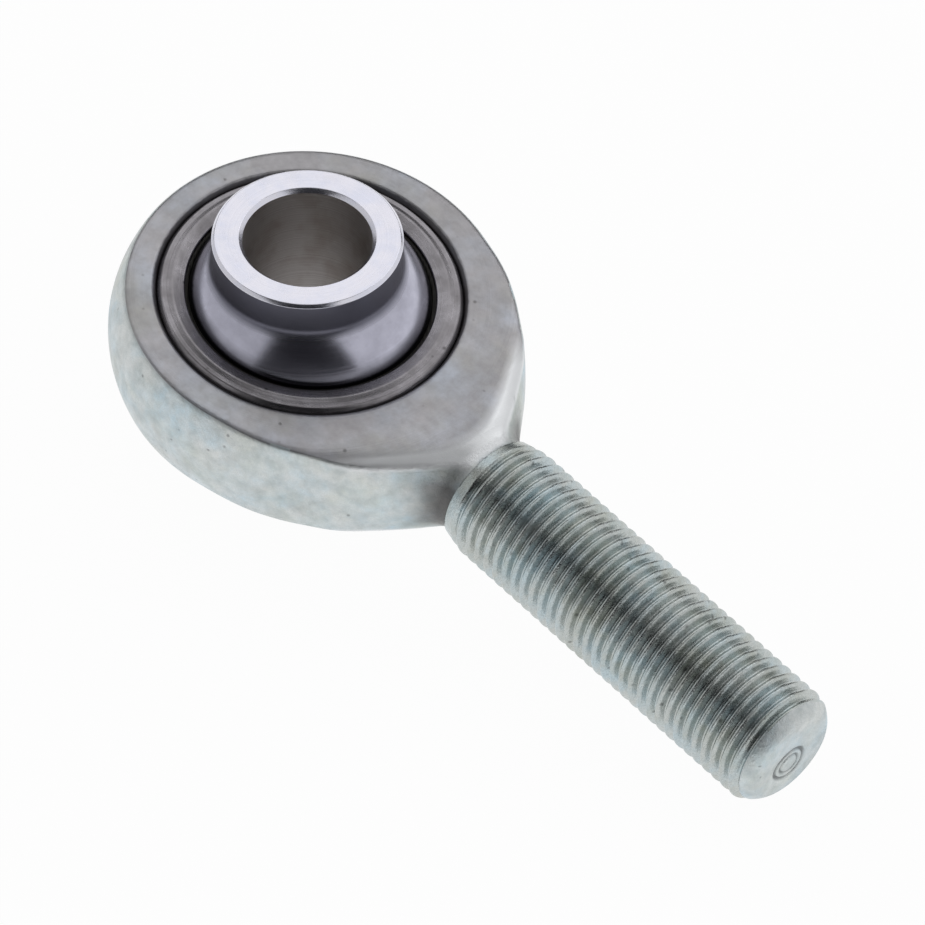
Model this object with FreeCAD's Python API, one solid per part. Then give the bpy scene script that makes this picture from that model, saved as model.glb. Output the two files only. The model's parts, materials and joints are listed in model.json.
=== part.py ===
import FreeCAD, Part
import math
import os

# Rod end bearing: a forged eye with a threaded shank, a steel race staked into
# the eye, a thin low-friction liner in the race, and a ball with a bore.
# Lengths are in millimetres. The origin is the centre of the ball, +Z runs along
# the ball's bore and +X along the shank as seen from above.
# The eye leans on the ball about +Y until the shank's tip is level with the
# ball's lower face, as the part lies when it is put down on a table.

V = FreeCAD.Vector
ORIGIN = V(0, 0, 0)
X_AXIS = V(1, 0, 0)
Y_AXIS = V(0, 1, 0)
Z_AXIS = V(0, 0, 1)

# Ball
BORE_D = 12.7              # 1/2 in bolt
BORE_CHAMFER = 0.4
BALL_D = 26.2
BALL_WIDTH = 25.8          # over the two flat collar faces
COLLAR_D = 18.85
COLLAR_CHAMFER = 0.3
COLLAR_FILLET = 1.3        # where a collar runs into the sphere

# Liner
RUNNING_GAP = 0.03         # ball to liner, on the radius
LINER_THICKNESS = 0.45
LINER_SEAT_GAP = 0.02      # liner to race, on the radius
LINER_RECESS = 0.35        # liner's end below the race's sharp inner edge

# Race. The heights of its end are from the eye's face, and the rings of its end
# are set in from its outside.
RACE_WALL = 1.6            # at its thinnest, in the middle
RACE_EDGE_DROP = 0.1
RIM_INSET = 1.5
RIM_RISE = 0.3
STAKE_GROOVE_INSET = 0.95
STAKE_GROOVE_RISE = 0.06
STAKE_LIP_INSET = 0.45
STAKE_LIP_RISE = 0.08
STAKE_FOOT_DROP = 0.55

# Eye
EYE_THICKNESS = 11.3
EYE_WALL = 4.85            # round the race, before the outside is offset
EYE_OFFSET = 0.65          # of the outside, towards the shank
CROWN = 1.15               # how far the side pulls in from its middle to a face
FLANK_ANGLE = 55.7         # direction that a flank faces, from the shank's axis
HOLE_CHAMFER = 0.45
BACK_CONE_ANGLE = 49.5     # slope of the turned cone behind the faces
FACE_RUNOUT = 3.85         # length of a face past the round of the eye

# Shank
THREAD_D = 12.7            # 1/2-20 UNF, right hand
THREAD_LENGTH = 42.5
THREAD_START_RISE = 0.6
NECK_LENGTH = 1.65         # from the end of a face to the thread
NECK_DEPTH = 0.95          # below the thread's outside
NECK_BLEND = 2.0
TIP_CHAMFER_LENGTH = 1.1
TIP_CHAMFER_DEPTH = 0.9
TIP_RING_D = 4.0           # ring mark left in the end by the forging die
TIP_RING_WIDTH = 0.35
TIP_RING_DEPTH = 0.2
TIP_RING_OFFSET = 1.0      # below the shank's axis

# Derived sizes
ball_r = BALL_D / 2
collar_r = COLLAR_D / 2
bore_r = BORE_D / 2
half_width = BALL_WIDTH / 2
half_eye = EYE_THICKNESS / 2
collar_foot_z = math.sqrt((ball_r + COLLAR_FILLET)**2 - (collar_r + COLLAR_FILLET)**2)
liner_inner_r = ball_r + RUNNING_GAP
liner_outer_r = liner_inner_r + LINER_THICKNESS
race_inner_r = liner_outer_r + LINER_SEAT_GAP
race_edge_z = half_eye - RACE_EDGE_DROP
race_edge_r = math.sqrt(race_inner_r**2 - race_edge_z**2)
race_r = race_inner_r + RACE_WALL
eye_r = race_r + EYE_WALL
face_end_x = EYE_OFFSET + eye_r + FACE_RUNOUT
thread_start_x = face_end_x + NECK_LENGTH
shank_end_x = thread_start_x + THREAD_LENGTH
thread_r = THREAD_D / 2
neck_r = thread_r - NECK_DEPTH
tip_r = thread_r - TIP_CHAMFER_DEPTH


def lean_angle():
    """Angle about +Y that brings the tip's widest turn level with the ball's lower face."""
    reach_x = shank_end_x - TIP_CHAMFER_LENGTH
    reach = math.hypot(reach_x, thread_r)
    return math.degrees(math.asin(half_width / reach) - math.atan2(thread_r, reach_x))


def line(a, b):
    return Part.LineSegment(V(*a), V(*b)).toShape()


def arc(a, middle, b):
    return Part.Arc(V(*a), V(*middle), V(*b)).toShape()


def outline(points):
    """Closed polygon through (radius, height) points in the XZ plane."""
    corners = [V(r, 0, z) for r, z in points]
    return Part.makePolygon(corners + corners[:1])


def turned(wire, axis=Z_AXIS, angle=360):
    return Part.Face(wire).revolve(ORIGIN, axis, angle)


def collar_fillet(side):
    """Arc from the collar to the sphere: side is 1 for the upper collar and -1 for the lower."""
    centre = V(collar_r + COLLAR_FILLET, 0, side * collar_foot_z)
    to_collar = V(-1, 0, 0)
    to_sphere = -centre / centre.Length
    middle = to_collar + to_sphere
    ends = [centre + direction * COLLAR_FILLET for direction in (to_collar, to_sphere)]
    return ends[0], centre + middle / middle.Length * COLLAR_FILLET, ends[1]


def make_ball():
    face_r = collar_r - COLLAR_CHAMFER
    mouth_r = bore_r + BORE_CHAMFER
    shoulder_z = half_width - COLLAR_CHAMFER
    throat_z = half_width - BORE_CHAMFER
    upper = [(collar_r, collar_foot_z), (collar_r, shoulder_z), (face_r, half_width),
             (mouth_r, half_width), (bore_r, throat_z)]
    lower = [(r, -z) for r, z in reversed(upper)]
    path = upper + lower
    edges = [line((r0, 0, z0), (r1, 0, z1)) for (r0, z0), (r1, z1) in zip(path, path[1:])]
    lower_fillet = collar_fillet(-1)
    upper_fillet = collar_fillet(1)
    edges.append(arc(*lower_fillet))
    edges.append(arc(lower_fillet[2], (ball_r, 0, 0), upper_fillet[2]))
    edges.append(arc(*reversed(upper_fillet)))
    return turned(Part.Wire(edges))


def make_liner():
    end_z = race_edge_z - LINER_RECESS
    inner_r = math.sqrt(liner_inner_r**2 - end_z**2)
    outer_r = math.sqrt(liner_outer_r**2 - end_z**2)
    edges = [
        arc((inner_r, 0, -end_z), (liner_inner_r, 0, 0), (inner_r, 0, end_z)),
        line((inner_r, 0, end_z), (outer_r, 0, end_z)),
        arc((outer_r, 0, end_z), (liner_outer_r, 0, 0), (outer_r, 0, -end_z)),
        line((outer_r, 0, -end_z), (inner_r, 0, -end_z)),
    ]
    return turned(Part.Wire(edges))


def make_race():
    upper = [(race_edge_r, race_edge_z),
             (race_r - RIM_INSET, half_eye + RIM_RISE),
             (race_r - STAKE_GROOVE_INSET, half_eye + STAKE_GROOVE_RISE),
             (race_r - STAKE_LIP_INSET, half_eye + STAKE_LIP_RISE),
             (race_r, half_eye - STAKE_FOOT_DROP)]
    lower = [(r, -z) for r, z in reversed(upper)]
    path = upper + lower
    edges = [line((r0, 0, z0), (r1, 0, z1)) for (r0, z0), (r1, z1) in zip(path, path[1:])]
    edges.append(arc((race_edge_r, 0, -race_edge_z), (race_inner_r, 0, 0),
                     (race_edge_r, 0, race_edge_z)))
    return turned(Part.Wire(edges))


def crowned_section(inner, outer):
    """Section of the eye from inner to outer, flat on both faces and bulged at outer."""
    edge = outer - CROWN
    edges = [
        line((inner, 0, -half_eye), (edge, 0, -half_eye)),
        arc((edge, 0, -half_eye), (outer, 0, 0), (edge, 0, half_eye)),
        line((edge, 0, half_eye), (inner, 0, half_eye)),
        line((inner, 0, half_eye), (inner, 0, -half_eye)),
    ]
    return Part.Face(Part.Wire(edges))


def make_eye_blank():
    """Round back of the eye, and the two flanks that run from it towards the shank."""
    back = crowned_section(0, eye_r).rotated(ORIGIN, Z_AXIS, FLANK_ANGLE)
    back = back.revolve(ORIGIN, Z_AXIS, 360 - 2 * FLANK_ANGLE)
    flanks = []
    for side in (1, -1):
        angle = math.radians(side * FLANK_ANGLE)
        along = V(side * math.sin(angle), -side * math.cos(angle), 0) * (4 * eye_r)
        start = crowned_section(-eye_r, eye_r).rotated(ORIGIN, Z_AXIS, side * FLANK_ANGLE)
        flanks.append(start.extrude(along))
    front = flanks[0].common(flanks[1])
    blank = back.fuse(front).removeSplitter()
    blank.translate(V(EYE_OFFSET, 0, 0))
    return blank


def turned_envelope():
    """What turning about the shank's axis leaves: a cone behind the faces, blended into the neck."""
    slope = math.radians(BACK_CONE_ANGLE)
    wide_x = -2 * eye_r
    wide_r = half_eye + math.tan(slope) * (face_end_x - wide_x)
    corner_x = face_end_x + (half_eye - neck_r) / math.tan(slope)
    tangent = NECK_BLEND * math.tan(slope / 2)
    centre_x = corner_x + tangent
    centre_r = neck_r + NECK_BLEND
    cone_end = (corner_x - tangent * math.cos(slope), 0, neck_r + tangent * math.sin(slope))
    middle = (centre_x - NECK_BLEND * math.sin(slope / 2), 0,
              centre_r - NECK_BLEND * math.cos(slope / 2))
    neck_start = (centre_x, 0, neck_r)
    edges = [
        line((wide_x, 0, 0), (wide_x, 0, wide_r)),
        line((wide_x, 0, wide_r), cone_end),
        arc(cone_end, middle, neck_start),
        line(neck_start, (thread_start_x, 0, neck_r)),
        line((thread_start_x, 0, neck_r), (thread_start_x, 0, 0)),
        line((thread_start_x, 0, 0), (wide_x, 0, 0)),
    ]
    return turned(Part.Wire(edges), X_AXIS)


def make_shank():
    """Threaded length as a plain cylinder at the thread's outside diameter."""
    points = [(thread_start_x, 0), (thread_start_x, neck_r),
              (thread_start_x + THREAD_START_RISE, thread_r),
              (shank_end_x - TIP_CHAMFER_LENGTH, thread_r), (shank_end_x, tip_r), (shank_end_x, 0)]
    corners = [V(x, 0, r) for x, r in points]
    shank = turned(Part.makePolygon(corners + corners[:1]), X_AXIS)
    ring_start = V(shank_end_x - TIP_RING_DEPTH, 0, -TIP_RING_OFFSET)
    outer = Part.makeCylinder(TIP_RING_D / 2, TIP_RING_DEPTH, ring_start, X_AXIS)
    inner = Part.makeCylinder(TIP_RING_D / 2 - TIP_RING_WIDTH, TIP_RING_DEPTH, ring_start, X_AXIS)
    return shank.cut(outer.cut(inner))


def make_hole():
    """The hole for the race, with a chamfer at each face for the staked lip."""
    mouth_r = race_r + HOLE_CHAMFER
    throat_z = half_eye - HOLE_CHAMFER
    upper = [(race_r, throat_z), (mouth_r, half_eye), (mouth_r, EYE_THICKNESS), (0, EYE_THICKNESS)]
    lower = [(r, -z) for r, z in reversed(upper)]
    return turned(outline(upper + lower))


def make_body():
    eye = make_eye_blank().common(turned_envelope())
    body = eye.fuse(make_shank()).removeSplitter()
    return body.cut(make_hole())


def leaned(shape):
    return shape.rotated(ORIGIN, Y_AXIS, lean_angle())


def main():
    os.makedirs("parts", exist_ok=True)
    pieces = {
        "ball": make_ball(),
        "race_liner": leaned(make_liner()),
        "outer_race": leaned(make_race()),
        "rod_end_body": leaned(make_body()),
    }
    for name, shape in pieces.items():
        box = shape.BoundBox
        print(name, len(shape.Solids), shape.isValid(), round(shape.Volume, 2),
              [round(v, 2) for v in (box.XMin, box.YMin, box.ZMin, box.XMax, box.YMax, box.ZMax)])
        shape.exportStep("parts/" + name + ".step")
    print("lean angle", round(lean_angle(), 4))


main()
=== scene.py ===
import json
import math

import bmesh
import bpy
import numpy as np
from mathutils import Matrix, Vector


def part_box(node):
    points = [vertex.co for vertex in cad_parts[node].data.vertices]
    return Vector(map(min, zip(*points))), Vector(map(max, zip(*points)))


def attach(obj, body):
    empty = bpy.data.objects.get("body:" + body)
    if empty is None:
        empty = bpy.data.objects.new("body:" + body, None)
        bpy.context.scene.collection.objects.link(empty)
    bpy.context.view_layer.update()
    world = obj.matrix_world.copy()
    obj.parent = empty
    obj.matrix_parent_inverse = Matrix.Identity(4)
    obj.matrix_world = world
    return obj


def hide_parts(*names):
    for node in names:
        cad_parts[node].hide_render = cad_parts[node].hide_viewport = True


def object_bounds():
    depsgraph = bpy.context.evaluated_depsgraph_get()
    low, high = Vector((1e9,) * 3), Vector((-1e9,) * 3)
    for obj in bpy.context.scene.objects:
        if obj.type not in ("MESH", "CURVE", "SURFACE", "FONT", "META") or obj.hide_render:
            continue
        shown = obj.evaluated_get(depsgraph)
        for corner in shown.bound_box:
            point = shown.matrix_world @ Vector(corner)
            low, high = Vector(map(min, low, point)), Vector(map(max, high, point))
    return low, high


# Rod end bearing on a pale floor. The eye, the race, the liner and the ball are built here at
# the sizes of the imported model. This file's sizes are in millimetres. Every mesh is made in
# its own upright frame, with Z along the hole and X along the shank, and then leaned.

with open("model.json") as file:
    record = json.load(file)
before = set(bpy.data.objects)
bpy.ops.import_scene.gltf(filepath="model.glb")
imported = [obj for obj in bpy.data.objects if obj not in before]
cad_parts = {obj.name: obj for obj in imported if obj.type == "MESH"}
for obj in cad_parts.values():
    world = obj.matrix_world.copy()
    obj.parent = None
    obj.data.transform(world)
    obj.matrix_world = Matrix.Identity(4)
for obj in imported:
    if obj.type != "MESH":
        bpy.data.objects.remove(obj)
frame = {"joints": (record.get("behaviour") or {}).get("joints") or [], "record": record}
CAD_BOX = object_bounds()
MM = 0.001


def mount(name):
    return next(m for m in frame["record"]["mounts"] if m["name"] == name)


def joint(name):
    return next(j for j in frame["joints"] if j["name"] == name)


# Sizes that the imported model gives
BALL_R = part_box("ball")[1].x / MM
HALF_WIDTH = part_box("ball")[1].z / MM
BORE_R = mount("ball_bore")["dims"]["r_mm"]
THREAD_R = mount("shank")["dims"]["r_mm"]
RACE_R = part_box("outer_race")[1].y / MM
EYE_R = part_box("rod_end_body")[1].y / MM
LEAN = math.asin(joint("ball_swing")["axis"][0])

# Ball
BORE_CHAMFER = 0.4
COLLAR_R = 9.425
COLLAR_CHAMFER = 0.3
COLLAR_FILLET = 1.3

# Liner and race
RUNNING_GAP = 0.03
LINER_THICKNESS = 0.45
LINER_SEAT_GAP = 0.02
LINER_RECESS = 0.35
RACE_EDGE_DROP = 0.1
RIM_INSET = 1.5
RIM_RISE = 0.3
STAKE_GROOVE_INSET = 0.95
STAKE_GROOVE_RISE = 0.06
STAKE_LIP_INSET = 0.45
STAKE_LIP_RISE = 0.08
STAKE_FOOT_DROP = 0.55

# Eye
HALF_EYE = 5.65
EYE_OFFSET = 0.65
BACK_CROWN = 1.3
FLANK_CROWN = 0.3
FLANK_ANGLE = math.radians(55.7)
HOLE_CHAMFER = 0.45
BACK_CONE_SLOPE = math.tan(math.radians(49.5))
FACE_END_X = EYE_OFFSET + EYE_R + 3.85
FACE_EDGE_ROUND = 0.5
LIP_ROLL = 0.75             # how far the face rolls down along its edge near the shank
LIP_WIDTH = 2.6
LIP_EDGE_ROUND = 0.15
HOLE_EDGE_ROUND = 0.12

# Shank
PITCH = 1.27
THREAD_DEPTH = 0.72
CREST_HALF_WIDTH = 0.08
CREST_ROUND = 0.05
ROOT_START = 0.57           # from a crest's middle to the start of the root
THREAD_STEP = 0.4           # up from the neck, where the thread starts
THREAD_RUN_IN = 2.4         # length over which the thread's outside is reached
THREAD_DEEPEN = 1.5         # length over which the thread's depth is reached
THREAD_START_X = FACE_END_X + 1.65
SHANK_END_X = THREAD_START_X + 42.5
NECK_R = THREAD_R - 0.95
NECK_BLEND = 1.2
TIP_ROUND_LENGTH = 1.9
TIP_ROUND_DEPTH = 1.9
MARK_OFFSET = 1.0           # of the ring mark in the end, from the axis

# Mesh fineness
TURNED_SEGMENTS = 192
EYE_COLUMNS = 432
SIDE_ROWS = 30
NECK_COLUMNS = 42
SHANK_SEGMENTS = 2 * (NECK_COLUMNS + SIDE_ROWS)


# ---------------------------------------------------------------- profiles

def rounded(corners, steps=4):
    """Path through (r, z, rounding) corners, each corner with its own small arc."""
    points = []
    for i, (r, z, rounding) in enumerate(corners):
        if rounding == 0 or i in (0, len(corners) - 1):
            points.append((r, z))
            continue
        here = Vector((r, z))
        back = Vector(corners[i - 1][:2]) - here
        ahead = Vector(corners[i + 1][:2]) - here
        half = back.angle(ahead) / 2
        reach = min(rounding / math.tan(half), back.length * 0.45, ahead.length * 0.45)
        start = here + back.normalized() * reach
        end = here + ahead.normalized() * reach
        for k in range(steps + 1):
            t = k / steps
            points.append(tuple(start * (1 - t) ** 2 + here * 2 * t * (1 - t) + end * t**2))
    return points


def arc_points(centre, radius, start, end, steps):
    """Points of an arc in the (r, z) plane, from one angle to another."""
    angles = np.linspace(start, end, steps + 1)
    return [(centre[0] + radius * math.cos(a), centre[1] + radius * math.sin(a)) for a in angles]


# ---------------------------------------------------------------- meshes

def object_from(name, verts, faces):
    """Closed, smooth mesh object from points in millimetres."""
    mesh = bpy.data.meshes.new(name)
    mesh.from_pydata((np.asarray(verts) * MM).tolist(), [], faces)
    work = bmesh.new()
    work.from_mesh(mesh)
    bmesh.ops.remove_doubles(work, verts=work.verts, dist=2e-7)
    bmesh.ops.dissolve_degenerate(work, edges=work.edges, dist=1e-7)
    bmesh.ops.recalc_face_normals(work, faces=work.faces)
    for face in work.faces:
        face.smooth = True
    work.to_mesh(mesh)
    work.free()
    piece = bpy.data.objects.new(name, mesh)
    bpy.context.scene.collection.objects.link(piece)
    return piece


def grid_faces(rows, columns, wrap):
    """Quads of a grid of rows x columns points, numbered row by row."""
    across = columns if wrap else columns - 1
    i, j = np.meshgrid(np.arange(rows - 1), np.arange(across), indexing="ij")
    right = (j + 1) % columns
    quads = np.stack([i * columns + j, i * columns + right,
                      (i + 1) * columns + right, (i + 1) * columns + j], axis=-1)
    return quads.reshape(-1, 4).tolist()


def turned_piece(name, profile, waver=None):
    """A ring turned from a closed (r, z) profile. waver moves each point a little."""
    path = np.array(profile + profile[:1])
    angles = np.linspace(0, 2 * math.pi, TURNED_SEGMENTS, endpoint=False)
    radius = np.repeat(path[:, :1], TURNED_SEGMENTS, axis=1)
    height = np.repeat(path[:, 1:], TURNED_SEGMENTS, axis=1)
    if waver:
        radius, height = waver(radius, height, angles[None, :])
    verts = np.stack([radius * np.cos(angles), radius * np.sin(angles), height], axis=-1)
    return object_from(name, verts.reshape(-1, 3), grid_faces(len(path), TURNED_SEGMENTS, True))


def make_ball():
    centre = (COLLAR_R + COLLAR_FILLET,
              math.sqrt((BALL_R + COLLAR_FILLET) ** 2 - (COLLAR_R + COLLAR_FILLET) ** 2))
    latitude = math.atan2(centre[1], centre[0])
    upper = rounded([
        (BORE_R, 0, 0),
        (BORE_R, HALF_WIDTH - BORE_CHAMFER, 0.15),
        (BORE_R + BORE_CHAMFER, HALF_WIDTH, 0.1),
        (COLLAR_R - COLLAR_CHAMFER, HALF_WIDTH, 0.12),
        (COLLAR_R, HALF_WIDTH - COLLAR_CHAMFER, 0.12),
        (COLLAR_R, centre[1], 0),
    ])
    upper += arc_points(centre, COLLAR_FILLET, math.pi, math.pi + latitude, 8)[1:]
    upper += arc_points((0, 0), BALL_R, latitude, 0, 40)[1:]
    lower = [(r, -z) for r, z in reversed(upper[1:-1])]
    return turned_piece("ball_with_collars", upper + lower)


def make_liner():
    inner = BALL_R + RUNNING_GAP
    outer = inner + LINER_THICKNESS
    end_z = HALF_EYE - RACE_EDGE_DROP - LINER_RECESS
    steps = 28
    upper = arc_points((0, 0), inner, 0, math.asin(end_z / inner), steps)
    upper += arc_points((0, 0), outer, math.asin(end_z / outer), 0, steps)
    lower = [(r, -z) for r, z in reversed(upper[1:-1])]
    return turned_piece("woven_liner", upper + lower)


def make_race():
    race_inner = BALL_R + RUNNING_GAP + LINER_THICKNESS + LINER_SEAT_GAP
    edge_z = HALF_EYE - RACE_EDGE_DROP
    inside = arc_points((0, 0), race_inner, 0, math.asin(edge_z / race_inner), 28)
    rim = rounded([
        (*inside[-1], 0),
        (inside[-1][0] + 0.12, edge_z + 0.07, 0.06),
        (RACE_R - RIM_INSET, HALF_EYE + RIM_RISE, 0.5),
        (RACE_R - STAKE_GROOVE_INSET, HALF_EYE + STAKE_GROOVE_RISE, 0.12),
        (RACE_R - STAKE_LIP_INSET, HALF_EYE + STAKE_LIP_RISE, 0.3),
        (RACE_R, HALF_EYE - STAKE_FOOT_DROP, 0.15),
        (RACE_R, 0, 0),
    ])
    upper = inside + rim[1:]
    lower = [(r, -z) for r, z in reversed(upper[1:-1])]

    def staking(radius, height, angle):
        """The staked lip is pressed by hand-set punches, so it isn't quite even."""
        lip = np.clip((radius - (RACE_R - STAKE_GROOVE_INSET)) / STAKE_GROOVE_INSET, 0, 1)
        lip = lip * (np.abs(height) > HALF_EYE - STAKE_FOOT_DROP - 0.05)
        wave = (np.sin(5 * angle + 0.4) + 0.6 * np.sin(13 * angle + 2.0)
                + 0.5 * np.sin(31 * angle + 1.1) + 0.35 * np.sin(67 * angle))
        drop = 0.018 * lip * (1 + wave) * np.sign(height)
        return radius - 0.02 * lip * (1 + wave * 0.5), height - drop

    return turned_piece("staked_race", upper + lower, staking)


# ---------------------------------------------------------------- the forged body

def soft_max(a, b, width):
    """The larger of two values, rounded over where they are close."""
    near = np.maximum(width - np.abs(a - b), 0) / width
    return np.maximum(a, b) + near * near * width / 4


def smooth_step(low, high, value):
    t = np.clip((value - low) / (high - low), 0, 1)
    return t * t * (3 - 2 * t)


def side_gap(x, y, z):
    """Distance outside the eye's crowned side, negative inside."""
    direction = np.abs(np.arctan2(y, x - EYE_OFFSET))
    middle_r = EYE_R / np.cos(np.clip(FLANK_ANGLE - direction, 0, 1.4))
    crown = FLANK_CROWN + (BACK_CROWN - FLANK_CROWN) * smooth_step(0.8, 1.35, direction)
    return np.hypot(x - EYE_OFFSET, y) - middle_r + crown * (z / HALF_EYE) ** 2


def cone_gap(x, y, z):
    """Distance outside the cone turned behind the faces, which runs into the neck."""
    cone = HALF_EYE + BACK_CONE_SLOPE * (FACE_END_X - x)
    return np.hypot(y, z) - soft_max(cone, np.full_like(cone, NECK_R), NECK_BLEND)


def outside_gap(x, y, z):
    outline = soft_max(side_gap(x, y, z), cone_gap(x, y, z), 0.8)
    near_shank = smooth_step(12, 21, x)
    roll = LIP_ROLL * near_shank * np.clip(1 + outline / LIP_WIDTH, 0, 1) ** 2
    rounding = FACE_EDGE_ROUND + (LIP_EDGE_ROUND - FACE_EDGE_ROUND) * near_shank
    return soft_max(outline, np.abs(z) - HALF_EYE + roll, rounding * 1.17)


def hole_gap(x, y, z):
    radius = np.hypot(x, y)
    flare = (RACE_R + np.abs(z) - HALF_EYE + HOLE_CHAMFER - radius) / math.sqrt(2)
    return soft_max(RACE_R - radius, flare, HOLE_EDGE_ROUND)


def eye_gap(x, y, z):
    return soft_max(outside_gap(x, y, z), hole_gap(x, y, z), HOLE_EDGE_ROUND)


def crossing(gap, low, high):
    """Where gap(value) changes from inside to outside, for arrays of low and high."""
    for _ in range(36):
        middle = (low + high) / 2
        inside = gap(middle) < 0
        low = np.where(inside, middle, low)
        high = np.where(inside, high, middle)
    return (low + high) / 2


def crowded(count, gather):
    """Steps from 0 to 1 that crowd towards both ends."""
    t = np.linspace(0, 1, count + 1)
    return (1 - gather) * t + gather * (1 - np.cos(math.pi * t)) / 2


def eye_section_targets(angle):
    """The section of the eye in each direction, as (radius, height) points before rounding."""
    cos, sin = np.cos(angle), np.sin(angle)

    def reach(height):
        def gap(radius):
            return np.maximum(side_gap(radius * cos, radius * sin, height),
                              cone_gap(radius * cos, radius * sin, height))
        return crossing(gap, np.full_like(angle, 16.0), np.full_like(angle, 27.0))

    side_z = HALF_EYE * (1 - 2 * crowded(SIDE_ROWS, 0.75))
    side = [(reach(np.full_like(angle, z)), np.full_like(angle, z)) for z in side_z]
    edge_r = side[0][0]
    mouth_r = RACE_R + HOLE_CHAMFER
    across = crowded(9, 0.8)[1:]
    face = [(edge_r + (mouth_r - edge_r) * t, np.full_like(angle, -HALF_EYE)) for t in across]
    chamfer = [(np.full_like(angle, mouth_r - HOLE_CHAMFER * t),
                np.full_like(angle, -HALF_EYE + HOLE_CHAMFER * t)) for t in (0.33, 0.67, 1)]
    throat = HALF_EYE - HOLE_CHAMFER
    wall = [(np.full_like(angle, RACE_R), np.full_like(angle, -throat + 2 * throat * t))
            for t in crowded(10, 0.6)[1:]]
    upper = [(r, -z) for r, z in reversed(face + chamfer)][1:]
    return side + face + chamfer + wall + upper, len(side) - 1


def eye_grid():
    """Points of the eye: one closed section in each direction round the hole."""
    step = 2 * math.pi / EYE_COLUMNS
    angle = (np.arange(EYE_COLUMNS) - NECK_COLUMNS // 2) * step
    targets, last_side_row = eye_section_targets(angle)
    radius = np.array([t[0] for t in targets])
    height = np.array([t[1] for t in targets])
    cos, sin = np.cos(angle)[None, :], np.sin(angle)[None, :]
    centre = (RACE_R + radius[0][None, :]) / 2
    span = np.hypot(radius - centre, height)
    along_r, along_z = (radius - centre) / span, height / span

    def gap(distance):
        r = centre + distance * along_r
        return eye_gap(r * cos, r * sin, distance * along_z)

    distance = crossing(gap, np.zeros_like(span), span * 1.05)
    r = centre + distance * along_r
    return np.stack([r * cos, r * sin, distance * along_z], axis=-1), last_side_row


# Where the thread's profile bends: both ends of the crest's rounding and of the root's
THREAD_OFFSETS = [CREST_HALF_WIDTH, CREST_HALF_WIDTH + CREST_ROUND, ROOT_START - 0.07, ROOT_START]


def thread_radius(x, turn):
    """Radius of the shank at x, where turn is how far round it is, in turns."""
    offset = np.abs((x / PITCH - turn + 0.5) % 1 - 0.5) * PITCH
    depth = np.interp(offset, THREAD_OFFSETS, [0, 0.03, THREAD_DEPTH - 0.06, THREAD_DEPTH])
    depth = depth * smooth_step(0, THREAD_DEEPEN, x - THREAD_START_X)
    step_r = NECK_R + THREAD_STEP
    run_in = np.clip((x - THREAD_START_X) / THREAD_RUN_IN, 0, 1)
    start = step_r + (THREAD_R - step_r) * run_in
    tip = np.clip((x - SHANK_END_X + TIP_ROUND_LENGTH) / TIP_ROUND_LENGTH, 0, 1)
    end = THREAD_R - TIP_ROUND_DEPTH * (0.45 * tip + 0.55 * (1 - np.sqrt(1 - 0.94 * tip**2)))
    return np.minimum(np.minimum(THREAD_R - depth, start), end)


def neck_rings(boundary):
    """Rings from the opening in the eye's side to the round neck."""
    angle = np.unwrap(np.arctan2(boundary[:, 2], boundary[:, 1]))
    turn = math.copysign(2 * math.pi, angle[-1] - angle[0])
    even = angle[0] + turn * np.arange(len(angle)) / len(angle)
    neck_x = FACE_END_X + 1.3
    rings = []
    for share in (0.04, 0.1, 0.18, 0.28, 0.4, 0.53, 0.67, 0.83, 1.0):
        x = boundary[:, 0] * (1 - share) + neck_x * share
        around = angle * (1 - share) + even * share
        cos, sin = np.cos(around), np.sin(around)
        radius = crossing(lambda r: outside_gap(x, r * cos, r * sin),
                          np.full_like(x, 2.0), np.full_like(x, 14.0))
        rings.append(np.stack([x, radius * cos, radius * sin], axis=-1))
    return rings, even, turn


def ring(x, radius, around):
    across, up = radius * np.cos(around), radius * np.sin(around)
    return np.stack([np.full_like(around, x), across, up], axis=-1)


def end_face_rings(around):
    """Rings of the shank's end, from its rounded edge to the off-centre ring mark in it."""
    edge_r = float(thread_radius(np.array(SHANK_END_X), 0))
    profile = [(edge_r * 0.97, 0.03), (4.0, 0.05), (3.4, 0.04), (2.8, 0.02), (2.4, 0), (2.22, -0.01),
               (2.1, -0.12), (1.95, -0.3), (1.8, -0.3), (1.68, -0.1), (1.6, -0.03), (1.38, -0.03),
               (1.3, -0.1), (1.2, -0.22), (1.1, -0.22), (1.0, -0.08), (0.9, 0), (0.5, 0.02)]
    rings = []
    for radius, rise in profile:
        loop = ring(SHANK_END_X - 0.05 + rise, radius, around)
        loop[:, 2] -= MARK_OFFSET * smooth_step(edge_r, 2.2, radius)
        rings.append(loop)
    return rings


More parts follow.
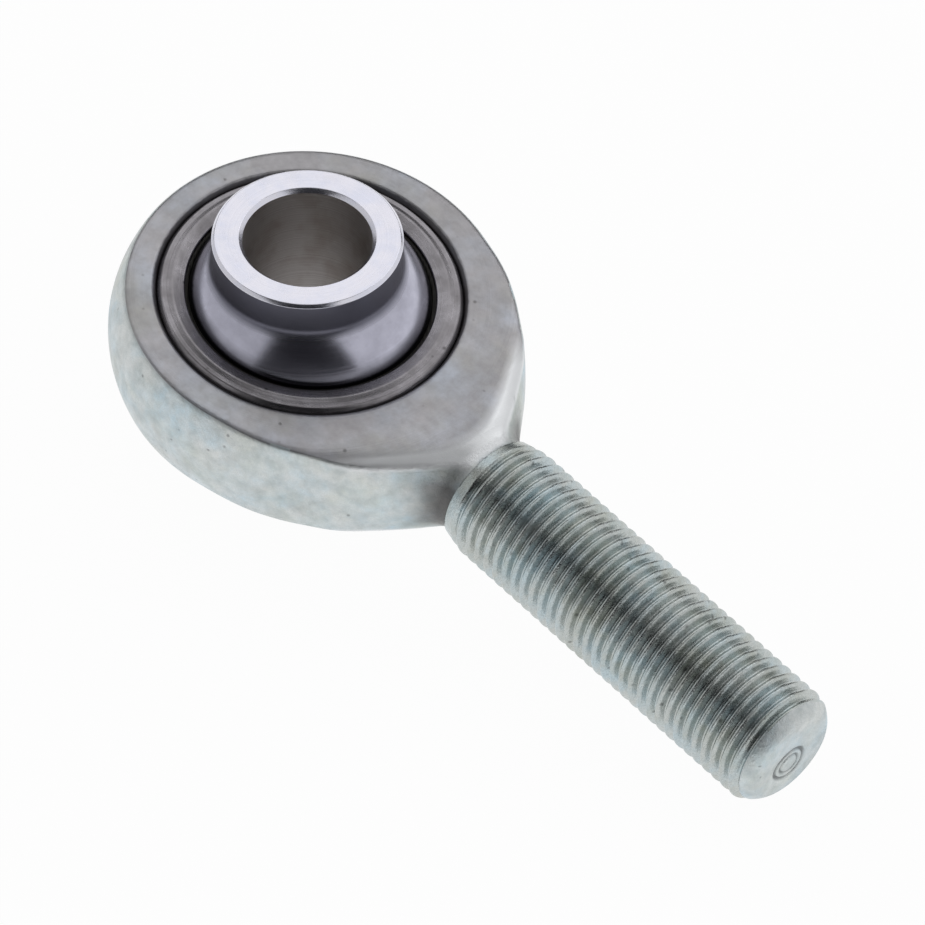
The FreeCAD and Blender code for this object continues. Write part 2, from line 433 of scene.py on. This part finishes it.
def make_body():
    """The eye, its neck and the threaded shank as one closed mesh."""
    points, last_side_row = eye_grid()
    rows = len(points)
    verts = [points.reshape(-1, 3)]
    closed = grid_faces(rows, EYE_COLUMNS, True)
    closed += [[(rows - 1) * EYE_COLUMNS + j, (rows - 1) * EYE_COLUMNS + (j + 1) % EYE_COLUMNS,
                (j + 1) % EYE_COLUMNS, j] for j in range(EYE_COLUMNS)]
    faces = [f for f in closed
             if not (max(f) // EYE_COLUMNS <= last_side_row
                     and max(c % EYE_COLUMNS for c in f) <= NECK_COLUMNS)]
    top = [(0, j) for j in range(NECK_COLUMNS)]
    right = [(i, NECK_COLUMNS) for i in range(last_side_row)]
    bottom = [(last_side_row, j) for j in range(NECK_COLUMNS, 0, -1)]
    left = [(i, 0) for i in range(last_side_row, 0, -1)]
    loop = top + right + bottom + left
    boundary = np.array([points[i, j] for i, j in loop])
    rings, around, turn = neck_rings(boundary)
    steps = ((0.12, 0), (0.04, 0.05), (0.015, 0.3))
    step_rings = [ring(THREAD_START_X - before, NECK_R + up, around) for before, up in steps]

    def add(loops, wrap=True):
        start = sum(len(v) for v in verts)
        columns = len(loops[0])
        verts.append(np.concatenate(loops))
        faces.extend([[c + start for c in f] for f in grid_faces(len(loops), columns, wrap)])

    # The rings end where the thread's first row starts.
    add([boundary] + rings + step_rings + [ring(THREAD_START_X, NECK_R + THREAD_STEP, around)])
    # The thread's rows follow the helix, so that its crests and roots are true edges.
    crest, crest_end, root_end, root = THREAD_OFFSETS
    row_offsets = np.array([-crest_end, -crest, crest, crest_end, 0.31, root_end, root,
                            PITCH - root, PITCH - root_end, 0.95])
    turns = int((SHANK_END_X - THREAD_START_X) / PITCH) + 3
    first = math.floor(THREAD_START_X / PITCH) - 2
    along = (first + np.arange(turns + 2))[:, None] * PITCH + row_offsets[None, :]
    columns = np.append(around, around[0] + turn)
    helix = []
    for s in along.reshape(-1):
        share = columns / (2 * math.pi)
        x = np.clip(s + share * PITCH, THREAD_START_X, SHANK_END_X)
        radius = thread_radius(x, share)
        helix.append(np.stack([x, radius * np.cos(columns), radius * np.sin(columns)], axis=-1))
    add(helix, wrap=False)
    caps = end_face_rings(around)
    add([ring(SHANK_END_X, float(thread_radius(np.array(SHANK_END_X), 0)), around)] + caps)
    centre = sum(len(v) for v in verts)
    verts.append(np.array([[SHANK_END_X - 0.03, 0, -MARK_OFFSET]]))
    last = centre - SHANK_SEGMENTS
    faces.extend([[last + j, last + (j + 1) % SHANK_SEGMENTS, centre] for j in range(SHANK_SEGMENTS)])
    return object_from("forged_body", np.concatenate(verts), faces)


# ---------------------------------------------------------------- node helpers

def put(tree, kind, inputs=None, **settings):
    """A node with its settings and inputs, each a value or another node's output."""
    made = tree.nodes.new(kind)
    for key, value in settings.items():
        setattr(made, key, value)
    for key, value in (inputs or {}).items():
        if isinstance(value, bpy.types.NodeSocket):
            tree.links.new(value, made.inputs[key])
        else:
            made.inputs[key].default_value = value
    return made


def maths(tree, operation, a, b=0.0):
    return put(tree, "ShaderNodeMath", {0: a, 1: b}, operation=operation).outputs[0]


def times(tree, *values):
    """The product of two or more values."""
    product = values[0]
    for value in values[1:]:
        product = maths(tree, "MULTIPLY", product, value)
    return product


def distance_from_z(tree, vector):
    """How far each spot is from the Z axis."""
    flat = put(tree, "ShaderNodeVectorMath", {0: vector, 1: (1, 1, 0)}, operation="MULTIPLY")
    flat_length = put(tree, "ShaderNodeVectorMath", {0: flat.outputs[0]}, operation="LENGTH")
    return flat_length.outputs["Value"]


def spread(tree, value, low, high, out_low=0.0, out_high=1.0):
    """Maps low..high to out_low..out_high, clamped."""
    inputs = {"Value": value, "From Min": low, "From Max": high, "To Min": out_low, "To Max": out_high}
    return put(tree, "ShaderNodeMapRange", inputs).outputs["Result"]


def blend_colour(tree, share, a, b, how="MIX"):
    made = put(tree, "ShaderNodeMix", data_type="RGBA", blend_type=how)
    for index, value in ((0, share), (6, a), (7, b)):
        if isinstance(value, bpy.types.NodeSocket):
            tree.links.new(value, made.inputs[index])
        else:
            made.inputs[index].default_value = value
    return made.outputs[2]


def colour(r, g, b):
    """A linear colour from the usual 0 to 255 numbers."""
    parts = [c / 255 for c in (r, g, b)]
    linear = [c / 12.92 if c <= 0.04045 else ((c + 0.055) / 1.055) ** 2.4 for c in parts]
    return (*linear, 1)


def new_group(name, inputs, outputs):
    """A node group, its input and output nodes. Sockets are (name, kind) pairs."""
    tree = bpy.data.node_groups.new(name, "ShaderNodeTree")
    for direction, sockets in (("INPUT", inputs), ("OUTPUT", outputs)):
        for label, kind in sockets:
            tree.interface.new_socket(name=label, in_out=direction, socket_type="NodeSocket" + kind)
    return tree, tree.nodes.new("NodeGroupInput").outputs, tree.nodes.new("NodeGroupOutput").inputs


def place(tree, group, **inputs):
    made = tree.nodes.new("ShaderNodeGroup")
    made.node_tree = group
    for label, value in inputs.items():
        if isinstance(value, bpy.types.NodeSocket):
            tree.links.new(value, made.inputs[label])
        else:
            made.inputs[label].default_value = value
    return made.outputs


def noise(tree, vector, scale, detail=3.0, rough=0.55):
    inputs = {"Vector": vector, "Scale": scale, "Detail": detail, "Roughness": rough}
    return put(tree, "ShaderNodeTexNoise", inputs)


# ---------------------------------------------------------------- shared effects

def make_mottle():
    """Cloudy plating: how cool, how warm and how dull each spot is."""
    tree, given, out = new_group("plating_mottle", [("Vector", "Vector"), ("Size", "Float")],
                                 [("Cool", "Float"), ("Warm", "Float"), ("Dull", "Float")])
    scale = maths(tree, "DIVIDE", 1.0, given["Size"])
    clouds = noise(tree, given["Vector"], scale, 4.0, 0.6)
    parts = put(tree, "ShaderNodeSeparateColor", {"Color": clouds.outputs["Color"]}).outputs
    tree.links.new(spread(tree, parts[0], 0.42, 0.68), out["Cool"])
    tree.links.new(spread(tree, parts[1], 0.45, 0.7), out["Warm"])
    tree.links.new(spread(tree, parts[2], 0.35, 0.68), out["Dull"])
    return tree


def make_grain():
    """Fine tooth of a tumbled or ground surface: a height and a shade."""
    tree, given, out = new_group("fine_grain", [("Vector", "Vector"), ("Size", "Float")],
                                 [("Height", "Float"), ("Shade", "Float")])
    scale = maths(tree, "DIVIDE", 1.0, given["Size"])
    coarse = noise(tree, given["Vector"], scale, 5.0, 0.65).outputs["Fac"]
    fine = noise(tree, given["Vector"], times(tree, scale, 3.7), 3.0, 0.6).outputs["Fac"]
    height = maths(tree, "ADD", times(tree, coarse, 0.65), times(tree, fine, 0.35))
    tree.links.new(height, out["Height"])
    tree.links.new(spread(tree, fine, 0.3, 0.7), out["Shade"])
    return tree


def make_turned_lines():
    """Tool marks round the Z axis: their height and their shade."""
    tree, given, out = new_group("turned_lines", [("Vector", "Vector"), ("Spacing", "Float")],
                                 [("Height", "Float"), ("Shade", "Float")])
    height = put(tree, "ShaderNodeSeparateXYZ", {0: given["Vector"]}).outputs[2]
    along = maths(tree, "ADD", distance_from_z(tree, given["Vector"]), height)
    steps = maths(tree, "DIVIDE", along, given["Spacing"])
    marks = put(tree, "ShaderNodeTexNoise", {"W": steps, "Scale": 1.0, "Detail": 3.0, "Roughness": 0.7},
                noise_dimensions="1D").outputs["Fac"]
    tree.links.new(marks, out["Height"])
    tree.links.new(spread(tree, marks, 0.3, 0.7), out["Shade"])
    return tree


def make_specks():
    """Small dark pits and stains."""
    tree, given, out = new_group("dark_specks", [("Vector", "Vector"), ("Size", "Float"),
                                                 ("Share", "Float")], [("Mask", "Float")])
    scale = maths(tree, "DIVIDE", 1.0, given["Size"])
    cells = put(tree, "ShaderNodeTexVoronoi", {"Vector": given["Vector"], "Scale": scale})
    chosen = put(tree, "ShaderNodeSeparateColor", {"Color": cells.outputs["Color"]}).outputs[0]
    keep = maths(tree, "LESS_THAN", chosen, given["Share"])
    spot = spread(tree, cells.outputs["Distance"], 0.12, 0.34, 1.0, 0.0)
    tree.links.new(times(tree, keep, spot), out["Mask"])
    return tree


def make_seam_shade():
    """Painted shade in a round seam between parts: strongest at a radius and gone at the reach from it.
    """
    tree, given, out = new_group("seam_grime", [("Vector", "Vector"), ("Radius", "Float"),
                                                ("Reach", "Float")], [("Mask", "Float")])
    radius = distance_from_z(tree, given["Vector"])
    uneven = noise(tree, given["Vector"], 900.0).outputs["Fac"]
    away = maths(tree, "ABSOLUTE", maths(tree, "SUBTRACT", radius, given["Radius"]))
    limit = times(tree, given["Reach"], maths(tree, "ADD", uneven, 0.5))
    share = maths(tree, "DIVIDE", away, limit)
    tree.links.new(spread(tree, share, 0.55, 1.0, 1.0, 0.0), out["Mask"])
    return tree


MOTTLE = make_mottle()
SEAM_SHADE = make_seam_shade()
GRAIN = make_grain()
TURNED = make_turned_lines()
SPECKS = make_specks()


# ---------------------------------------------------------------- materials

def upright(tree, vector):
    """Coordinates in the frame of the eye, which leans."""
    return put(tree, "ShaderNodeVectorRotate", {"Vector": vector, "Angle": -LEAN},
               rotation_type="Y_AXIS").outputs[0]


def new_material(name, leaning=True):
    """A material, its node tree, its shader, and coordinates in the frame that it leans with."""
    material = bpy.data.materials.new(name)
    material.use_nodes = True
    tree = material.node_tree
    shader = tree.nodes["Principled BSDF"]
    coords = put(tree, "ShaderNodeTexCoord").outputs["Object"]
    if leaning:
        coords = upright(tree, coords)
    return material, tree, shader, coords


def bump(tree, shader, height, depth, strength=1.0):
    made = put(tree, "ShaderNodeBump", {"Strength": strength, "Distance": depth * MM, "Height": height})
    tree.links.new(made.outputs["Normal"], shader.inputs["Normal"])


# Near-white painted highlight for the rolled lip near the shank
LIP_HIGHLIGHT_COLOUR = colour(230, 232, 234)
MARK_R = 2.4                # of the ring mark and a margin round it


def rolled_lip_highlight(tree, x, z, low, high):
    """Mask of the painted highlight on the rolled lip near the shank: 0 at low and 1 at high, both below
    the face.
    """
    level = maths(tree, "ABSOLUTE", z)
    rise = spread(tree, level, (HALF_EYE - low) * MM, (HALF_EYE - high) * MM)
    return times(tree, rise, spread(tree, x, 16.5 * MM, 19.5 * MM))


def ring_mark_shade_mask(tree, x, y, z):
    """Mask of the painted shade in the sunk rings of the mark in the shank's end."""
    centred = put(tree, "ShaderNodeCombineXYZ", {1: y, 2: maths(tree, "ADD", z, MARK_OFFSET * MM)})
    reach = put(tree, "ShaderNodeVectorMath", {0: centred.outputs[0]}, operation="LENGTH")
    end_x = SHANK_END_X * MM
    return times(tree, maths(tree, "LESS_THAN", reach.outputs["Value"], MARK_R * MM),
                 spread(tree, x, end_x - 0.3 * MM, end_x - 0.1 * MM, 1.0, 0.0),
                 maths(tree, "GREATER_THAN", x, end_x - 1 * MM))


def zinc_side():
    """Bright zinc plate on the forging: pale, cloudy, faintly blue and green."""
    material, tree, shader, coords = new_material("zinc_plated_forging")
    shader.inputs["Metallic"].default_value = 1.0
    clouds = place(tree, MOTTLE, Vector=coords, Size=5.5 * MM)
    small = place(tree, MOTTLE, Vector=coords, Size=1.6 * MM)
    grain = place(tree, GRAIN, Vector=coords, Size=0.36 * MM)
    specks = place(tree, SPECKS, Vector=coords, Size=0.7 * MM, Share=0.02)
    x, y, z = put(tree, "ShaderNodeSeparateXYZ", {0: coords}).outputs
    tint = blend_colour(tree, clouds["Cool"], colour(216, 218, 217), colour(194, 217, 230))
    tint = blend_colour(tree, times(tree, clouds["Warm"], 0.6), tint, colour(206, 211, 198))
    tint = blend_colour(tree, times(tree, small["Dull"], 0.7), tint, colour(168, 177, 178))
    tint = blend_colour(tree, times(tree, small["Cool"], 0.5), tint, colour(232, 235, 236))
    tint = blend_colour(tree, times(tree, grain["Shade"], 0.5), tint, colour(180, 188, 188))
    tint = blend_colour(tree, times(tree, specks["Mask"], 0.5), tint, colour(90, 92, 92))
    # Painted shade: the crease where the eye's flank runs into the neck is painted dark brown.
    corner = times(tree, spread(tree, x, 20.5 * MM, 25 * MM), spread(tree, x, 27.5 * MM, 26.4 * MM),
                   spread(tree, maths(tree, "ABSOLUTE", y), 8.5 * MM, 6.2 * MM),
                   spread(tree, maths(tree, "ABSOLUTE", z), 4.8 * MM, 2.8 * MM))
    tint = blend_colour(tree, times(tree, corner, 0.85), tint, colour(70, 65, 63))
    # Painted highlight: the rolled lip near the shank is painted near white.
    lip = times(tree, rolled_lip_highlight(tree, x, z, 1.3, 0.85), spread(tree, x, 26.0 * MM, 25.4 * MM))
    tint = blend_colour(tree, lip, tint, LIP_HIGHLIGHT_COLOUR)
    # Painted shade: the sunk rings of the end's mark are painted darker.
    mark_shade = ring_mark_shade_mask(tree, x, y, z)
    tint = blend_colour(tree, times(tree, mark_shade, 0.7), tint, colour(96, 98, 100))
    tree.links.new(tint, shader.inputs["Base Color"])
    rough = spread(tree, maths(tree, "ADD", clouds["Dull"], grain["Shade"]), 0.2, 1.8, 0.34, 0.5)
    tree.links.new(rough, shader.inputs["Roughness"])
    bump(tree, shader, grain["Height"], 0.09)
    return material


def machined_face():
    """Plated face of the eye, faced on a lathe: darker, with faint rings and stains."""
    material, tree, shader, coords = new_material("machined_eye_face")
    shader.inputs["Metallic"].default_value = 1.0
    broad = place(tree, MOTTLE, Vector=coords, Size=17.0 * MM)
    clouds = place(tree, MOTTLE, Vector=coords, Size=7.0 * MM)
    small = place(tree, MOTTLE, Vector=coords, Size=1.3 * MM)
    lines = place(tree, TURNED, Vector=coords, Spacing=0.16 * MM)
    grain = place(tree, GRAIN, Vector=coords, Size=0.35 * MM)
    specks = place(tree, SPECKS, Vector=coords, Size=0.8 * MM, Share=0.025)
    tint = blend_colour(tree, clouds["Cool"], colour(180, 178, 181), colour(186, 191, 201))
    tint = blend_colour(tree, times(tree, clouds["Warm"], 0.6), tint, colour(168, 167, 160))
    tint = blend_colour(tree, times(tree, small["Dull"], 0.5), tint, colour(146, 145, 147))
    tint = blend_colour(tree, times(tree, specks["Mask"], 0.6), tint, colour(78, 76, 74))
    tint = blend_colour(tree, times(tree, broad["Dull"], 0.3), tint, colour(128, 126, 127))
    # Painted shade along the seam where the race meets the eye's hole.
    seam_shadow = place(tree, SEAM_SHADE, Vector=coords, Radius=(RACE_R + 0.12) * MM, Reach=0.3 * MM)
    tint = blend_colour(tree, times(tree, seam_shadow["Mask"], 0.65), tint, colour(40, 38, 38))
    x, y, z = put(tree, "ShaderNodeSeparateXYZ", {0: coords}).outputs
    # Painted highlight: the face's rolled edge near the shank is painted near white.
    tint = blend_colour(tree, rolled_lip_highlight(tree, x, z, 0.02, 0.25), tint, LIP_HIGHLIGHT_COLOUR)
    tree.links.new(tint, shader.inputs["Base Color"])
    rough = spread(tree, maths(tree, "ADD", clouds["Dull"], lines["Shade"]), 0.2, 1.8, 0.3, 0.46)
    tree.links.new(rough, shader.inputs["Roughness"])
    height = maths(tree, "ADD", times(tree, lines["Height"], 0.5), grain["Height"])
    bump(tree, shader, height, 0.02)
    return material


def rolled_thread():
    """Rolled and plated thread: cloudy plating with fine streaks and dark specks."""
    material, tree, shader, coords = new_material("rolled_thread")
    shader.inputs["Metallic"].default_value = 1.0
    clouds = place(tree, MOTTLE, Vector=coords, Size=4.0 * MM)
    stretched = put(tree, "ShaderNodeMapping", {"Vector": coords, "Scale": (1.0, 0.35, 0.35)}).outputs[0]
    streaks = place(tree, GRAIN, Vector=stretched, Size=0.38 * MM)
    specks = place(tree, SPECKS, Vector=coords, Size=0.9 * MM, Share=0.06)
    tint = blend_colour(tree, clouds["Cool"], colour(196, 201, 199), colour(186, 202, 208))
    tint = blend_colour(tree, times(tree, clouds["Warm"], 0.5), tint, colour(166, 168, 152))
    tint = blend_colour(tree, times(tree, streaks["Shade"], 0.35), tint, colour(130, 136, 136))
    tint = blend_colour(tree, times(tree, specks["Mask"], 0.6), tint, colour(70, 72, 72))
    tree.links.new(tint, shader.inputs["Base Color"])
    rough = spread(tree, maths(tree, "ADD", clouds["Dull"], streaks["Shade"]), 0.2, 1.8, 0.2, 0.34)
    tree.links.new(rough, shader.inputs["Roughness"])
    bump(tree, shader, streaks["Height"], 0.06)
    return material


def race_steel():
    """Turned bearing steel with fine rings and a few dark pits."""
    material, tree, shader, coords = new_material("turned_race_steel")
    shader.inputs["Metallic"].default_value = 1.0
    clouds = place(tree, MOTTLE, Vector=coords, Size=2.4 * MM)
    lines = place(tree, TURNED, Vector=coords, Spacing=0.09 * MM)
    grain = place(tree, GRAIN, Vector=coords, Size=0.3 * MM)
    specks = place(tree, SPECKS, Vector=coords, Size=0.8 * MM, Share=0.08)
    tint = blend_colour(tree, clouds["Dull"], colour(160, 157, 162), colour(134, 131, 134))
    tint = blend_colour(tree, times(tree, lines["Shade"], 0.3), tint, colour(112, 110, 111))
    tint = blend_colour(tree, times(tree, specks["Mask"], 0.6), tint, colour(52, 50, 50))
    # Painted shade along the race's outer edge, in the seam where it meets the eye's hole.
    seam_shadow = place(tree, SEAM_SHADE, Vector=coords, Radius=RACE_R * MM, Reach=0.22 * MM)
    tint = blend_colour(tree, times(tree, seam_shadow["Mask"], 0.65), tint, colour(40, 38, 38))
    tree.links.new(tint, shader.inputs["Base Color"])
    rough = spread(tree, maths(tree, "ADD", clouds["Dull"], lines["Shade"]), 0.2, 1.8, 0.22, 0.4)
    tree.links.new(rough, shader.inputs["Roughness"])
    height = maths(tree, "ADD", lines["Height"], times(tree, grain["Height"], 0.6))
    bump(tree, shader, height, 0.015)
    return material


def liner_cloth():
    """Dark low-friction cloth with a fine weave."""
    material, tree, shader, coords = new_material("liner_cloth")
    grain = place(tree, GRAIN, Vector=coords, Size=0.4 * MM)
    weave = put(tree, "ShaderNodeTexWave", {"Vector": coords, "Scale": 1400.0, "Distortion": 0.6},
                bands_direction="DIAGONAL").outputs["Fac"]
    tint = blend_colour(tree, weave, colour(34, 33, 30), colour(56, 52, 46))
    tint = blend_colour(tree, times(tree, grain["Shade"], 0.5), tint, colour(24, 23, 22))
    tree.links.new(tint, shader.inputs["Base Color"])
    tree.links.new(spread(tree, grain["Shade"], 0.0, 1.0, 0.5, 0.8), shader.inputs["Roughness"])
    bump(tree, shader, maths(tree, "ADD", weave, grain["Height"]), 0.02)
    return material


def polished_ball():
    """Hard chrome on the sphere: near mirror, with hair-fine polishing marks."""
    material, tree, shader, coords = new_material("polished_chrome", leaning=False)
    shader.inputs["Metallic"].default_value = 1.0
    clouds = place(tree, MOTTLE, Vector=coords, Size=3.0 * MM)
    lines = place(tree, TURNED, Vector=coords, Spacing=0.12 * MM)
    tint = blend_colour(tree, clouds["Dull"], colour(190, 190, 205), colour(174, 174, 188))
    height = put(tree, "ShaderNodeSeparateXYZ", {0: coords}).outputs[2]
    relief = spread(tree, maths(tree, "ABSOLUTE", height), 8.4 * MM, 9.0 * MM)
    tint = blend_colour(tree, relief, tint, colour(112, 112, 124))
    # Painted shade: the ball's band within the eye's thickness, next to the liner and race, is painted
    # near black.
    across = put(tree, "ShaderNodeSeparateXYZ", {0: upright(tree, coords)}).outputs[2]
    race_band_shade = spread(tree, maths(tree, "ABSOLUTE", across), 7.0 * MM, 5.4 * MM)
    tint = blend_colour(tree, times(tree, race_band_shade, 0.92), tint, colour(44, 43, 47))
    tree.links.new(tint, shader.inputs["Base Color"])
    rough = spread(tree, maths(tree, "ADD", clouds["Dull"], lines["Shade"]), 0.2, 1.8, 0.19, 0.26)
    rough = maths(tree, "ADD", rough, times(tree, relief, 0.16))
    tree.links.new(rough, shader.inputs["Roughness"])
    bump(tree, shader, lines["Height"], 0.0015)
    return material


def ground_collar():
    """Ground face of a collar: bright, with faint circular grinding lines."""
    material, tree, shader, coords = new_material("ground_collar_face", leaning=False)
    shader.inputs["Metallic"].default_value = 1.0
    clouds = place(tree, MOTTLE, Vector=coords, Size=2.2 * MM)
    lines = place(tree, TURNED, Vector=coords, Spacing=0.1 * MM)
    grain = place(tree, GRAIN, Vector=coords, Size=0.3 * MM)
    tint = blend_colour(tree, clouds["Cool"], colour(232, 231, 240), colour(222, 224, 238))
    tint = blend_colour(tree, times(tree, lines["Shade"], 0.25), tint, colour(200, 200, 212))
    tree.links.new(tint, shader.inputs["Base Color"])
    rough = spread(tree, maths(tree, "ADD", clouds["Dull"], lines["Shade"]), 0.2, 1.8, 0.18, 0.32)
    tree.links.new(rough, shader.inputs["Roughness"])
    height = maths(tree, "ADD", lines["Height"], times(tree, grain["Height"], 0.4))
    bump(tree, shader, height, 0.006)
    return material


def honed_bore():
    """Honed wall of the bore: brownish and dull, with fine scratches round it."""
    material, tree, shader, coords = new_material("honed_bore", leaning=False)
    shader.inputs["Metallic"].default_value = 1.0
    clouds = place(tree, MOTTLE, Vector=coords, Size=3.5 * MM)
    lines = place(tree, TURNED, Vector=coords, Spacing=0.14 * MM)
    grain = place(tree, GRAIN, Vector=coords, Size=0.5 * MM)
    tint = blend_colour(tree, clouds["Warm"], colour(184, 180, 179), colour(166, 159, 154))
    tint = blend_colour(tree, times(tree, lines["Shade"], 0.4), tint, colour(134, 130, 128))
    tree.links.new(tint, shader.inputs["Base Color"])
    tree.links.new(spread(tree, lines["Shade"], 0.0, 1.0, 0.42, 0.58), shader.inputs["Roughness"])
    bump(tree, shader, maths(tree, "ADD", lines["Height"], grain["Height"]), 0.02)
    return material


def floor_paper():
    """White studio paper, which the camera and the metal see as plain white."""
    material = bpy.data.materials.new("studio_paper")
    material.use_nodes = True
    tree = material.node_tree
    shader = tree.nodes["Principled BSDF"]
    shader.inputs["Base Color"].default_value = (0.9, 0.9, 0.9, 1)
    shader.inputs["Roughness"].default_value = 0.9
    shader.inputs["Specular IOR Level"].default_value = 0.1
    rays = put(tree, "ShaderNodeLightPath").outputs
    seen = maths(tree, "MAXIMUM", rays["Is Camera Ray"],
                 maths(tree, "MAXIMUM", rays["Is Glossy Ray"], rays["Is Transmission Ray"]))
    glow = put(tree, "ShaderNodeEmission", {"Strength": 1.0}).outputs[0]
    share = times(tree, seen, PAPER_GLOW)
    mixed = put(tree, "ShaderNodeMixShader", {0: share, 1: shader.outputs[0], 2: glow}).outputs[0]
    tree.links.new(mixed, tree.nodes["Material Output"].inputs["Surface"])
    return material


# ---------------------------------------------------------------- camera, floor and light

PAPER_GLOW = 0.97
FLOOR_RADIUS = 1.2
VIEW_AZIMUTH = -44.54
VIEW_ELEVATION = 47.24
VIEW_DISTANCE = 0.9752
VIEW_ROLL = 1.56
VIEW_AIM = Vector((23.54, -1.08, 0)) * MM
LENS = 389.2


def heading(azimuth, elevation):
    a, e = math.radians(azimuth), math.radians(elevation)
    return Vector((math.cos(e) * math.cos(a), math.cos(e) * math.sin(a), math.sin(e)))


def facing(direction):
    """Rotation that turns -Z against the direction, with Y as nearly up as it can be."""
    return direction.to_track_quat("Z", "Y").to_matrix()


def add_camera():
    data = bpy.data.cameras.new("camera")
    data.lens = LENS
    data.sensor_width = 36
    data.clip_start = 0.01
    data.clip_end = 50
    camera = bpy.data.objects.new("camera", data)
    bpy.context.scene.collection.objects.link(camera)
    direction = heading(VIEW_AZIMUTH, VIEW_ELEVATION)
    turn = facing(direction) @ Matrix.Rotation(math.radians(VIEW_ROLL), 3, "Z")
    camera.matrix_world = Matrix.Translation(VIEW_AIM + direction * VIEW_DISTANCE) @ turn.to_4x4()
    bpy.context.scene.camera = camera


def add_floor():
    """Round sheet of paper under the ball's lower face and the shank's tip."""
    work = bmesh.new()
    bmesh.ops.create_circle(work, cap_ends=True, segments=96, radius=FLOOR_RADIUS)
    mesh = bpy.data.meshes.new("paper_floor")
    work.to_mesh(mesh)
    work.free()
    floor = bpy.data.objects.new("paper_floor", mesh)
    bpy.context.scene.collection.objects.link(floor)
    floor.location = (0, 0, CAD_BOX[0][2] - 0.00002)
    mesh.materials.append(floor_paper())


def soft_box(name, azimuth, elevation, distance, width, height, level):
    """A rectangular soft light aimed at the eye, as bright as a white of that level."""
    data = bpy.data.lights.new(name, "AREA")
    data.shape = "RECTANGLE"
    data.size = width
    data.size_y = height
    data.energy = level * width * height * math.pi
    light = bpy.data.objects.new(name, data)
    bpy.context.scene.collection.objects.link(light)
    direction = heading(azimuth, elevation)
    centre = Vector((15, 0, 0)) * MM
    place_at = Matrix.Translation(centre + direction * distance)
    light.matrix_world = place_at @ facing(direction).to_4x4()


def add_lights():
    soft_box("back_box", VIEW_AZIMUTH + 180, 50, 0.8, 1.1, 0.75, 1.0)
    soft_box("left_box", VIEW_AZIMUTH - 88, 23, 0.8, 1.7, 0.75, 0.62)
    soft_box("right_box", VIEW_AZIMUTH + 88, 29, 0.8, 1.7, 0.95, 0.78)
    soft_box("top_box", VIEW_AZIMUTH, 78, 0.8, 0.5, 0.4, 0.6)
    world = bpy.data.worlds.new("studio")
    bpy.context.scene.world = world
    world.use_nodes = True
    world.node_tree.nodes["Background"].inputs["Color"].default_value = (0.02, 0.02, 0.022, 1)


# ---------------------------------------------------------------- assembly

def finish_piece(piece, lean, body, node, materials, choose=None):
    """Gives a piece its materials, face by face, leans it and joins it to its CAD body."""
    for material in materials:
        piece.data.materials.append(material)
    if choose:
        centres = np.zeros(len(piece.data.polygons) * 3)
        normals = np.zeros(len(piece.data.polygons) * 3)
        piece.data.polygons.foreach_get("center", centres)
        piece.data.polygons.foreach_get("normal", normals)
        kinds = choose(centres.reshape(-1, 3) / MM, normals.reshape(-1, 3)).astype(np.int32)
        piece.data.polygons.foreach_set("material_index", kinds)
    piece.data.transform(Matrix.Rotation(lean, 4, "Y"))
    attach(piece, body)
    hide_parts(node)


def body_surfaces(centre, normal):
    """0 for the plated forging, 1 for a machined face and the hole, 2 for the thread."""
    high = np.abs(centre[:, 2]) > HALF_EYE - LIP_ROLL
    faced = high & (np.abs(normal[:, 2]) > 0.8) & (centre[:, 0] < FACE_END_X + 0.2)
    hole = np.hypot(centre[:, 0], centre[:, 1]) < RACE_R + HOLE_CHAMFER
    thread = (centre[:, 0] > THREAD_START_X - 0.02) & (centre[:, 0] < SHANK_END_X - 1.2)
    return np.where(thread, 2, np.where(faced | hole, 1, 0))


def ball_surfaces(centre, normal):
    """0 for the polished sphere, 1 for the ground collars, 2 for the bore."""
    radius = np.hypot(centre[:, 0], centre[:, 1])
    bore = radius < BORE_R + 0.02
    collar = np.abs(centre[:, 2]) > HALF_WIDTH - 0.6
    return np.where(bore, 2, np.where(collar, 1, 0))


add_camera()
add_floor()
add_lights()
finish_piece(make_body(), LEAN, "body", "rod_end_body",
             [zinc_side(), machined_face(), rolled_thread()], body_surfaces)
finish_piece(make_race(), LEAN, "body", "outer_race", [race_steel()])
finish_piece(make_liner(), LEAN, "liner", "race_liner", [liner_cloth()])
finish_piece(make_ball(), 0, "ball", "ball",
             [polished_ball(), ground_collar(), honed_bore()], ball_surfaces)

bpy.context.scene.view_settings.view_transform = "Standard"
